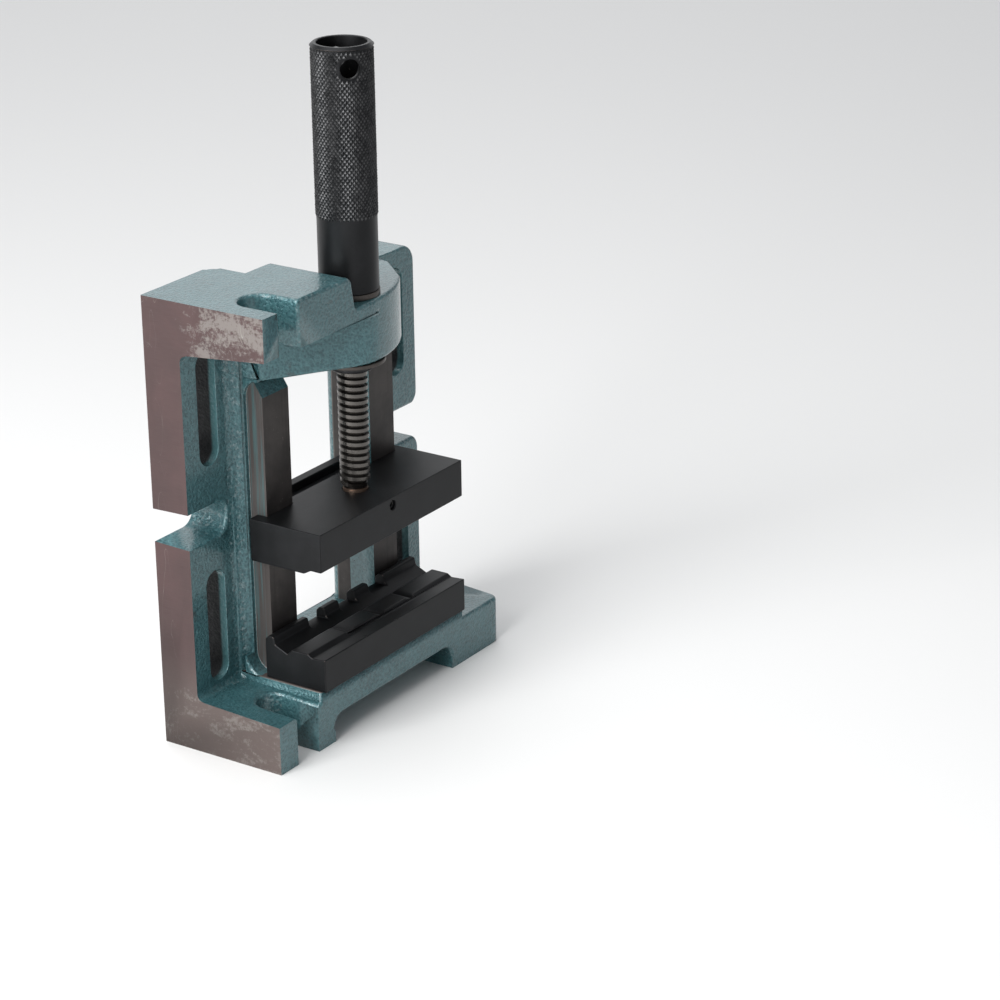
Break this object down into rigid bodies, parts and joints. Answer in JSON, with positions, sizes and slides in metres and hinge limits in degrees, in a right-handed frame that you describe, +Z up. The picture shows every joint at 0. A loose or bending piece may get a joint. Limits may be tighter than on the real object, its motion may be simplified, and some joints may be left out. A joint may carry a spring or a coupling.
{
  "type": "drill press vise",
  "caption": "Three-face drill press vise standing on its end, with a jaw sliding on two rails, driven by a screw and a hollow knurled handle.",
  "frame": {"origin": "on the foot face, in line with the lead screw", "axes": "+Z up along the lead screw, +X along the jaw width, +Y out of the base face, so the jaws' open front faces -Y"},
  "size_m": [0.158, 0.0612, 0.2805],
  "materials": {
    "painted_casting": "glossy hammered paint over cast iron, with ground iron faces",
    "blackened_jaw": "chemically blackened steel, satin",
    "blackened_handle": "blackened knurled steel",
    "screw_steel": "oiled dark steel thread",
    "keeper_steel": "blackened steel plate",
    "fastener_steel": "blackened fastener",
    "washer_steel": "oiled hardened steel"
  },
  "bodies": {
    "frame": {"body_casting": "painted_casting", "fixed_jaw": "blackened_jaw", "fixed_jaw_screw_left": "fastener_steel", "fixed_jaw_screw_right": "fastener_steel", "under_washer": "washer_steel"},
    "handle_nut": {"handle": "blackened_handle", "handle_washer": "washer_steel", "retaining_ring": "fastener_steel"},
    "jaw_carriage": {"moving_jaw": "blackened_jaw", "keeper_plate": "keeper_steel", "keeper_screw_left": "fastener_steel", "keeper_screw_right": "fastener_steel", "keeper_spring_washer_left": "washer_steel", "keeper_spring_washer_right": "washer_steel", "lead_screw": "screw_steel", "jaw_lock_screw": "fastener_steel"}
  },
  "joints": [
    {"name": "handle_turn", "type": "hinge", "parent": "frame", "child": "handle_nut", "pos_m": [0, 0, 0.164], "axis": [0, 0, 1], "range_deg": [-3767, 5519]},
    {"name": "jaw_slide", "type": "slide", "parent": "frame", "child": "jaw_carriage", "axis": [0, 0, 1], "range_m": [-0.0314, 0.046]}
  ],
  "couplings": [
    {"joint": "jaw_slide", "follows": "handle_turn", "m_per_rad": 0.00047746}
  ]
}
